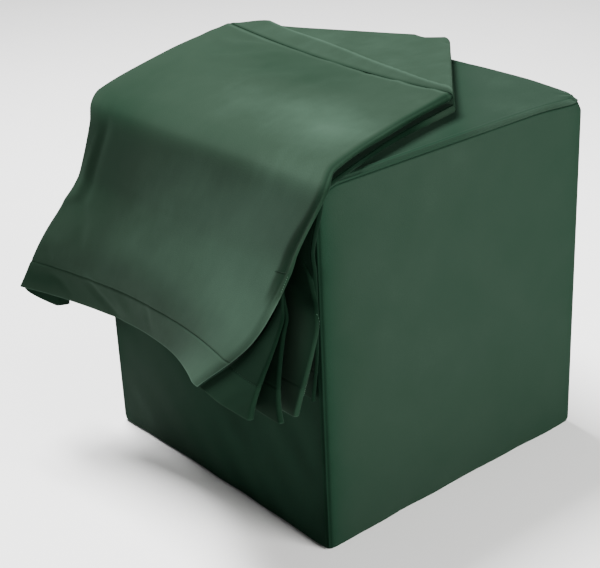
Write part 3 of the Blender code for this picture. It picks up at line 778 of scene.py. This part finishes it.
class Section:
    """One cross-section of the folded cover: front panel, two side panels, back panel. A
    depth is measured from the front panel towards the back panel."""

    def __init__(self, left, right, back_left, back_right, sag, bow, roll, turn, lower_roll,
                 gusset, pleats, droop, opened=0.0, slit=0.0):
        self.opened, self.slit = opened, slit
        self.left, self.right = left, right
        self.back_left, self.back_right = back_left, back_right
        self.sag, self.bow, self.turn = sag, bow, turn
        depths = {1: self.reach(right[0]), -1: self.reach(left[0])}
        turns = {1: turn, -1: CURL_TURN}
        self.front_curl = {side: curl(roll * depths[side], turns[side]) for side in (1, -1)}
        self.back_curl = {side: curl(lower_roll * depths[side], CURL_TURN) for side in (1, -1)}
        self.gusset, self.pleats, self.droop = gusset, pleats, droop

    def ends(self, x):
        """The front panel's and the back panel's (y, z) at x."""
        share = min(1.0, max(0.0, (x - self.left[0]) / (self.right[0] - self.left[0])))
        hump = 4 * share * (1 - share)
        front = (mix(self.left[1], self.right[1], share) + self.bow * hump,
                 mix(self.left[2], self.right[2], share) - self.sag * hump)
        width = self.back_right[0] - self.back_left[0]
        share = min(1.0, max(0.0, (x - self.back_left[0]) / width))
        return front, mix_all(self.back_left[1:], self.back_right[1:], share)

    def reach(self, x):
        """The depth of the back panel at x."""
        front, back = self.ends(x)
        return math.hypot(back[0] - front[0], back[1] - front[1])

    def point(self, x, depth):
        front, back = self.ends(x)
        y, z = mix_all(front, back, depth / self.reach(x))
        return x, y, z

    def front_line(self, faces):
        return [self.point(x, depth)
                for x, depth in rolled(self.left[0], self.right[0], self.front_curl, faces)]

    def back_line(self, faces):
        return [self.point(x, self.reach(x) - height) for x, height in
                rolled(self.back_left[0], self.back_right[0], self.back_curl, faces)]

    def gusset_line(self, side):
        """A side panel from the front seam to the back seam, folded and pleated."""
        front_edge, back_edge = ((self.right, self.back_right) if side > 0
                                 else (self.left, self.back_left))
        upper = self.front_curl[side][-1]
        lower = self.back_curl[side][-1]
        if side > 0:
            dropped = SLIT_DROP * ease((SLIT_TURN - self.turn) / SLIT_TURN * 2)
            upper = (upper[0], upper[1] + dropped)
        start_x = front_edge[0] + side * upper[0]
        end_x = back_edge[0] + side * lower[0]
        pleats = self.pleats[side]
        taken = sum(p["strength"] * p["size"] * (1 if p["inward"] else -1) for p in pleats)
        deepest = (self.gusset - side * (end_x - start_x)) / 2 + taken
        folds = [dict(place=deepest, parted=1.0)]
        for p in pleats:
            parted = min(1.0, 2 * p["strength"]) * (1 + PLEAT_SPREAD[side] * p["grown"])
            if p["start"] > 0:
                folds.append(dict(place=p["start"], parted=parted))
            if not p["at_back"]:
                folds.append(dict(place=p["start"] + p["size"], parted=parted))
        folds.sort(key=lambda fold: fold["place"])

        def turned(s, place):
            return ease((s - place + FOLD_REACH) / (2 * FOLD_REACH))

        def heading(s):
            """Which way the panel runs here: -1 inwards, 1 outwards."""
            value = 2 * turned(s, deepest) - 1
            for p in pleats:
                begun = turned(s, p["start"]) if p["start"] > 0 else 1.0
                ended = 0.0 if p["at_back"] else turned(s, p["start"] + p["size"])
                value *= 1 - 2 * p["strength"] * begun * (1 - ended)
            return value

        folded = sum(fold["parted"] for fold in folds)
        room = self.reach((start_x + end_x) / 2 - side * deepest / 2) - 2 * LAYER_GAP
        jump = min(FOLD_GAP / room, 1 / folded)

        # Where the legs lie between the two panels once the corner's slit lets them part.
        shares = ((0.0, 0.0), (self.gusset, 1.0))
        if side > 0 and self.opened:
            first, second, last = pleats
            late = second["start"] / PLEATS[side][1]["start"]
            shares = ((0.0, 0.0), (first["size"], 0.02), (second["start"], 0.02 + 0.23 * late),
                      (second["start"] + second["size"], 0.03 + 0.18 * late), (deepest, 0.376),
                      (last["start"], 0.36), (self.gusset, 1.0 - 0.41 * self.slit))

        def share(s):
            """How far from the front panel (0) to the back panel (1) the side panel is here."""
            steps = sum(fold["parted"] * turned(s, fold["place"]) for fold in folds)
            spread = mix((s / self.gusset) ** 0.6, along(shares, s), self.opened)
            return (1 - jump * folded) * spread + jump * steps

        tuck = min(TUCK, self.gusset / 4)

        def depth_at(x, s):
            front = mix(upper[1], LAYER_GAP, ease(s / tuck))
            back = mix(lower[1], LAYER_GAP, ease((self.gusset - s) / tuck))
            return mix(front, self.reach(x) - back, share(s))

        step = self.gusset / WALK
        places = [start_x]
        for k in range(WALK):
            places.append(places[-1] + side * heading((k + 0.5) * step) * step)
        drift = (end_x - places[-1]) / WALK
        line = []
        for s in fold_marks([fold["place"] for fold in folds], self.gusset):
            k = min(WALK - 1, int(s / step))
            x = mix(places[k], places[k + 1], s / step - k) + drift * s / step
            px, py, pz = self.point(x, depth_at(x, s))
            lower_by = self.droop[side] * math.sin(math.pi * math.sqrt(s / self.gusset))
            line.append((px, py, pz - lower_by))
        return line


def column(key, row, t):
    """A column of SECTIONS between two of its rows, on a smooth curve through them."""
    rows = [SECTIONS[min(len(SECTIONS) - 1, max(0, row + k))] for k in (-1, 0, 1, 2)]
    runs = [r["run"] for r in rows]
    span = runs[2] - runs[1]

    def curve(values):
        before = (values[2] - values[0]) / (runs[2] - runs[0]) * span
        after = (values[3] - values[1]) / (runs[3] - runs[1]) * span
        return ((2 * t ** 3 - 3 * t ** 2 + 1) * values[1] + (t ** 3 - 2 * t ** 2 + t) * before
                + (3 * t ** 2 - 2 * t ** 3) * values[2] + (t ** 3 - t ** 2) * after)

    values = [r[key] for r in rows]
    if isinstance(values[0], tuple):
        return tuple(curve(column_values) for column_values in zip(*values))
    return curve(values)


def grown_pleat(pleat, run):
    """Where a pleat starts, its size and how far it is folded at this run."""
    grown = max(0.0, (run - pleat["opens"]) / (HEM - pleat["opens"]))
    size = pleat["size"] * mix(LEAST_PLEAT, 1.0, grown ** pleat["size_power"])
    size += pleat["swell"] * bell(grown - 0.35, 0.3)
    start = pleat["start"] * mix(LEAST_PLEAT, 1.0, grown ** pleat["start_power"])
    if pleat["at_back"]:
        start = GUSSET_WIDTH - size
    return dict(start=start, size=size, strength=ease(pleat["quick"] * grown), grown=grown,
                inward=pleat["inward"], at_back=pleat["at_back"])


def section(run):
    """The cover's cross-section at this run of cloth from the top seam."""
    row = max(k for k in range(len(SECTIONS) - 1) if SECTIONS[k]["run"] <= run + 1e-9)
    low, high = SECTIONS[row]["run"], SECTIONS[row + 1]["run"]
    t = (run - low) / (high - low)
    cut = {key: column(key, row, t) for key in SECTIONS[0] if key != "run"}
    back, right = cut.pop("back"), cut.pop("back_right")
    hang = ease((run - HANG) / (HEM - HANG))
    return Section(**cut, back_left=(right - PANEL_WIDTH, *back), back_right=(right, *back),
                   gusset=GUSSET_WIDTH,
                   pleats={side: [grown_pleat(pleat, run) for pleat in rows]
                           for side, rows in PLEATS.items()},
                   droop={side: drop * hang for side, drop in HEM_DROOP.items()},
                   opened=ease((run - PARTING) / 0.05),
                   slit=ease((run - PARTED) / (HEM - PARTED)))


def apex_section(seam, size):
    """The seam's cross-section drawn towards the top panel's point, at this share of its size."""
    def towards(place, rise):
        flat = mix_all(APEX[:2], place[:2], size)
        return (*flat, mix(APEX[2] + rise, place[2], size))

    half = APEX_DEPTH / 2
    tucked_in = ease((size - TUCKED_IN[1]) / (TUCKED_IN[0] - TUCKED_IN[1]))
    return Section(towards(seam.left, half), towards(seam.right, half),
                   towards(seam.back_left, -half), towards(seam.back_right, -half),
                   seam.sag * size, 0.0, SECTIONS[0]["roll"], CURL_TURN, SECTIONS[0]["lower_roll"],
                   max(TIP_WALL, GUSSET_WIDTH * size * tucked_in),
                   {1: [], -1: []}, {1: 0.0, -1: 0.0})


def lens(cut, across, deep):
    """The tip's cross-section: a flat lens with as many points as a folded ring has."""
    middle = (cut.left[0] + cut.right[0]) / 2
    half = (cut.right[0] - cut.left[0]) / 2
    ring = []
    for start, stop, count in ((180 - LENS_END, LENS_END, across), (LENS_END, -LENS_END, deep),
                               (-LENS_END, LENS_END - 180, across),
                               (LENS_END - 180, -LENS_END - 180, deep)):
        inner = range(count) if count == across else range(1, count - 1)
        for k in inner:
            angle = math.radians(mix(start, stop, k / (count - 1)))
            x = middle + half * math.cos(angle)
            ring.append(cut.point(x, cut.reach(x) * (1 - math.sin(angle)) / 2))
    return ring


# ---------------------------------------------------------------- the cover's panels

def to_path(path, u, v):
    """Distance from (u, v) to a crease's path, and how far along it the nearest point is."""
    best, where = 1e9, 0.0
    parts = len(path) - 1
    for k, ((u0, v0), (u1, v1)) in enumerate(zip(path, path[1:])):
        du, dv = u1 - u0, v1 - v0
        t = ((u - u0) * du + (v - v0) * dv) / (du * du + dv * dv)
        t = min(1.0, max(0.0, t))
        away = math.hypot(u - u0 - t * du, v - v0 - t * dv)
        if away < best:
            best, where = away, (k + t) / parts
    return best, where


def creased(creases, u, v):
    """How far the cloth stands out at (u, v): the sum of its creases."""
    total = 0.0
    for c in creases:
        low_u, high_u, low_v, high_v = c["box"]
        if not (low_u < u < high_u and low_v < v < high_v):
            continue
        away, where = to_path(c["path"], u, v)
        fade = 0.35 + 0.65 * math.sin(math.pi * where) ** 0.5 if 0 < where < 1 else 0.35
        total += c["rise"] * bell(away, c["width"]) * fade
    return total


def boxed(creases):
    """Creases with the box that each can reach."""
    made = []
    for c in creases:
        us, vs = [p[0] for p in c["path"]], [p[1] for p in c["path"]]
        reach = 2.6 * c["width"]
        box = (min(us) - reach, max(us) + reach, min(vs) - reach, max(vs) + reach)
        made.append(dict(c, box=box))
    return made


class Panel:
    """A panel of the cover as a grid of points: lines across it, one for each run. line_of
    draws its line in a cross-section."""

    def __init__(self, rows, line_of, width):
        self.runs = spaced(rows)
        self.lines = [[Vector(p) for p in line_of(section(run))] for run in self.runs]
        self.across = []
        for line in self.lines:
            places = [0.0]
            for a, b in zip(line, line[1:]):
                places.append(places[-1] + (b - a).length)
            self.across.append([p * width / places[-1] for p in places])
        self.tone_and_painted_light = [[0.5] * len(line) for line in self.lines]

    def normals(self, flip=1.0):
        """The way out of the cloth at each point."""
        rows, columns = len(self.lines), len(self.lines[0])
        made = []
        for r in range(rows):
            before, after = self.lines[max(0, r - 1)], self.lines[min(rows - 1, r + 1)]
            here = self.lines[r]
            line = []
            for c in range(columns):
                down = after[c] - before[c]
                side = here[min(columns - 1, c + 1)] - here[max(0, c - 1)]
                normal = down.cross(side)
                plain = normal.length < 1e-12
                line.append(Vector((0, 0, 1)) if plain else normal.normalized() * flip)
            made.append(line)
        return made

    def raise_by(self, height, flip=1.0):
        """Move each point out by height(u, v)."""
        normals = self.normals(flip)
        for r, run in enumerate(self.runs):
            for c, u in enumerate(self.across[r]):
                self.lines[r][c] = self.lines[r][c] + normals[r][c] * height(u, run)

    def brush(self, tone):
        """Set the tone at each point, with its painted light and shade, by tone(u, v)."""
        for r, run in enumerate(self.runs):
            for c, u in enumerate(self.across[r]):
                self.tone_and_painted_light[r][c] = tone(u, run)

    def at(self, u, v):
        """The point at (u, v) of the flat cut, and its normal."""
        r = max(k for k in range(len(self.runs) - 1) if self.runs[k] <= v + 1e-9)
        t = (v - self.runs[r]) / (self.runs[r + 1] - self.runs[r])
        ends = []
        for row in (r, r + 1):
            places = self.across[row]
            c = max(k for k in range(len(places) - 1) if places[k] <= u + 1e-9)
            s = (u - places[c]) / (places[c + 1] - places[c])
            ends.append((self.lines[row][c].lerp(self.lines[row][c + 1], s),
                         self.lines[row][c + 1] - self.lines[row][c]))
        (a, side_a), (b, side_b) = ends
        side = side_a.lerp(side_b, t).normalized()
        return a.lerp(b, t), (b - a).cross(side).normalized()

    def make(self, name, material):
        columns = len(self.lines[0])
        faces, places = [], []
        for r in range(len(self.lines) - 1):
            for c in range(columns - 1):
                corners = ((r, c), (r, c + 1), (r + 1, c + 1), (r + 1, c))
                faces.append(tuple(row * columns + k for row, k in corners))
                places.append(tuple((self.across[row][k], self.runs[row]) for row, k in corners))
        points = [p for line in self.lines for p in line]
        made = piece(name, points, faces, places, [v for line in self.tone_and_painted_light for v in line], material)
        thicken(made)
        return made


def front_panel():
    panel = Panel(FRONT_ROWS, lambda cut: cut.front_line(FRONT_FACES), PANEL_WIDTH)
    creases = boxed(FRONT_CREASES)

    def height(u, v):
        total = creased(creases, u, v)
        total += stroke(COVER_SEAM_DIP, v)
        stitch = along(HEM_STITCH, u)
        total += stroke(HEM_STITCH_DIP, v - stitch)
        total += 0.0005 * ease((v - stitch - 0.001) / 0.004)
        total += 0.0006 * ripple(u / 0.022, v / 0.026, 4.0) * ease(v / 0.02)
        sewn = 1 - ease((v - SLIT + 0.01) / 0.02)
        edge = PANEL_WIDTH - u
        return total + sewn * (stroke(EDGE_RIDGE, edge - 0.0055)
                               + stroke(EDGE_GROOVE, edge - 0.0080))

    def tone(u, v):
        value = 0.5
        # Painted highlights and painted shade from the table.
        for b in FRONT_PAINTED_LIGHT:
            value += b["tone"] * bell(math.hypot((u - b["place"][0]) / b["size"][0],
                                                 (v - b["place"][1]) / b["size"][1]), 1.0)
        sewn = 1 - ease((v - SLIT) / 0.05)
        edge = PANEL_WIDTH - u
        # Painted shade deep in the roll of the right edge, most of all over the slit's bar tack.
        deep = mix(0.006, 0.013, ease((v - 0.29) / 0.06))
        value -= 0.44 * sewn * ease(1 - (edge - deep) / 0.010)
        # Painted highlights along the rolled edge's seam, beside the top seam and on the hem's and
        # the slit's edges; painted shade in the top seam's groove; a darker line along the hem
        # stitching.
        value += sewn * stroke(EDGE_HIGHLIGHT, edge - 0.0055)
        value += stroke(COVER_SEAM_SHADE, v) + stroke(COVER_SEAM_HIGHLIGHT, v - 0.007)
        value += stroke(HEM_STITCH_LINE, v - along(HEM_STITCH, u))
        value += stroke(HEM_EDGE_HIGHLIGHT, HEM - v) + (1 - sewn) * stroke(SLIT_EDGE_HIGHLIGHT, edge)
        return value

    panel.raise_by(height)
    panel.brush(tone)
    return panel


def back_panel():
    panel = Panel(SIDE_ROWS, lambda cut: cut.back_line(BACK_FACES), PANEL_WIDTH)
    panel.raise_by(lambda u, v: stroke(BACK_STITCH_DIP, v - BACK_STITCH))

    def tone(u, v):
        edge = PANEL_WIDTH - u
        # Painted shade all over this lower layer, painted light near its top where it rounds over,
        # painted shade along its right edge and a painted highlight on its hem.
        value = 0.30 + stroke(BACK_PAINTED_LIGHT, v - 0.03)
        value += stroke(BACK_SHADE, edge) * ease((v - 0.02) / 0.1)
        return value + stroke(BACK_EDGE_HIGHLIGHT, HEM - v) * ease(edge / 0.004)

    panel.brush(tone)
    return panel


def side_panel(side):
    panel = Panel(SIDE_ROWS, lambda cut: cut.gusset_line(side), GUSSET_WIDTH)

    def tone(s, v):
        grown = max(0.0, (v - SLIT) / (HEM - SLIT))
        # Painted shade deep in the folds, lighter below the hem stitching with a darker line along
        # it, a painted highlight on the hem's edge and painted shade at the pleats' fold edges.
        value = 0.05 + 0.10 * ease((v - 0.515) / 0.012) + stroke(SIDE_STITCH_LINE, v - SIDE_STITCH)
        value += stroke(SIDE_EDGE_HIGHLIGHT, HEM - v)
        for pleat in PLEATS[side]:
            shape = grown_pleat(pleat, v)
            value += stroke(PLEAT_EDGE_SHADE, s - shape["start"] - shape["size"])
        # Painted light and painted shade on the right side panel's folds.
        for light in FOLD_PAINTED_LIGHT if side > 0 else ():
            value += light["tone"] * ease(grown * 4) * bell(s - light["place"], light["reach"])
        return value

    panel.raise_by(lambda u, v: stroke(SIDE_STITCH_DIP, v - SIDE_STITCH), flip=side)
    panel.brush(tone)
    return panel


def top_panel(material):
    """The cover's top panel: the ring of folds narrowed to a point, with the ridge that
    its seam allowance pushes up behind the seam."""
    seam = section(0.0)
    apex = Vector(APEX)
    sizes = [1.0 - 0.005 - s for s in spaced(TOP_RINGS)]
    rings, across = [], 0
    for size in sizes:
        cut = apex_section(seam, size)
        front, back = cut.front_line(TOP_FACES), cut.back_line(TOP_FACES)
        right, left = cut.gusset_line(1), cut.gusset_line(-1)
        across = len(front)
        if size > PLAIN_TIP:
            rings.append(front + right[1:-1] + back[::-1] + left[-2:0:-1])
        else:
            rings.append(lens(cut, len(front), len(right)))
    lifted = []
    for size, ring in zip(sizes, rings):
        line = []
        for j, p in enumerate(ring):
            # Painted shade on the parts other than the front; on the front, painted shade in the
            # seam, a painted highlight on the ridge's crest and painted shade behind it.
            tone = 0.28
            if j < across:
                share = j / (across - 1)
                away = (1 - size) * (Vector(rings[0][j]) - apex).length
                crest, rise = along(RIDGE, share), along(RIDGE_HEIGHT, share)
                slope = away / crest if away < crest else 1 - (away - crest) / RIDGE_FALL
                up = rise * ease(slope) + stroke(COVER_SEAM_DIP, away)
                up += 0.0006 * ripple(p[0] / 0.022, p[1] / 0.026, 5.0) * ease(away / 0.02)
                p = (p[0], p[1], p[2] + up * ease(min(share, 1 - share) / 0.06))
                tone = (0.52 + stroke(COVER_SEAM_SHADE, away)
                        + stroke(RIDGE_HIGHLIGHT, away - crest + 0.002)
                        + stroke(RIDGE_SHADE, away - crest - 0.007))
            line.append((p, tone))
        lifted.append(line)
    middle = [sum(values) / len(lifted[-1]) for values in zip(*(p for p, _ in lifted[-1]))]
    made = rings_to_piece("cover_velvet_top", lifted,
                          lambda k, j: lifted[k][j % len(lifted[k])][0][:2], material,
                          (None, mix_all(middle, APEX, 0.4)))
    thicken(made)
    return made


# ---------------------------------------------------------------- stitches

def stitches(name, panel, path, length, spacing, radius, material):
    """A row of stitches along a path of (u, v) on a panel, joined into one piece."""
    points, faces, spots = [], [], []
    around, rim, lift = 6, 0.0005, 0.0002
    for (u0, v0), (u1, v1) in zip(path, path[1:]):
        span = math.hypot(u1 - u0, v1 - v0)
        count = max(1, round(span / spacing))
        spots += [(mix(u0, u1, (k + 0.5) / count), mix(v0, v1, (k + 0.5) / count),
                   (u1 - u0) / span, (v1 - v0) / span) for k in range(count)]
    for u, v, du, dv in spots:
        ends = []
        for t in (-0.5, -0.3, 0.0, 0.3, 0.5):
            u1, v1 = u + du * length * t, v + dv * length * t
            place, normal = panel.at(max(rim, min(panel.across[0][-1] - rim, u1)),
                                     max(rim, min(HEM - rim, v1)))
            dip = radius * 1.6 * (abs(t) * 2) ** 3
            ends.append((place + normal * (CLOTH / 2 + lift - dip), normal))
        way = (ends[-1][0] - ends[0][0]).normalized()
        first = len(points)
        for k, (place, normal) in enumerate(ends):
            side = way.cross(normal).normalized()
            thick = radius * (0.55 if k in (0, 4) else 1.0)
            for j in range(around):
                a = 2 * math.pi * j / around
                points.append(place + (side * math.cos(a) + normal * math.sin(a)) * thick)
        for k in range(4):
            for j in range(around):
                after = (j + 1) % around
                a, b = first + k * around, first + (k + 1) * around
                faces.append((a + j, b + j, b + after, a + after))
        faces.append(tuple(first + j for j in range(around)))
        faces.append(tuple(first + 4 * around + j for j in reversed(range(around))))
    cut = [[(0.0, 0.0)] * len(f) for f in faces]
    made = piece(name, points, faces, cut, [0.5] * len(points), material)
    facing_out(made)
    return made


# ---------------------------------------------------------------- the whole object

def main():
    set_camera()
    studio()
    # Deep to light: painted-shade and painted-light copies of each velvet's one green.
    pouf_cloth = velvet("pouf_velvet", "#04130A", "#11251A", "#1C2B22", "#3A4E42",
                        False, 0.13, 0.02)
    cover_cloth = velvet("cover_velvet", "#04130A", "#122419", "#1E2D23", "#3D5346",
                         True, 0.13, 0.04)
    threads = {"dark": thread("sewing_thread", "#0B1A11", "#1C3325"),
               "pale": thread("pale_sewing_thread", "#3C5646", "#5C7666")}

    body = pouf_body(pouf_cloth)
    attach(body, "root")
    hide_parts("pouf_body")
    top = pouf_top_panel(pouf_cloth)
    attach(top, "root")
    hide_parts("pouf_top_panel")

    panels = {"front": front_panel(), "back": back_panel(), "right_side": side_panel(1),
              "left_side": side_panel(-1)}
    for name, width, held, under in (("front", PANEL_WIDTH, "draped", "cover_back_panel"),
                                     ("back", PANEL_WIDTH, "draped", "pouf_top_panel"),
                                     ("right_side", GUSSET_WIDTH, "folded", "cover_back_panel"),
                                     ("left_side", GUSSET_WIDTH, "folded", "cover_back_panel")):
        made = panels[name].make("cover_velvet_" + name, cover_cloth)
        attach(made, "root")
        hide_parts("cover_" + name + "_panel")
    folded_top = top_panel(cover_cloth)
    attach(folded_top, "root")
    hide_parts("cover_top_panel")

    for row in STITCH_ROWS:
        made = stitches(row["name"], panels[row["panel"]], row["path"], row["length"],
                        row["spacing"], row["radius"], threads[row["thread"]])
        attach(made, "root")


main()
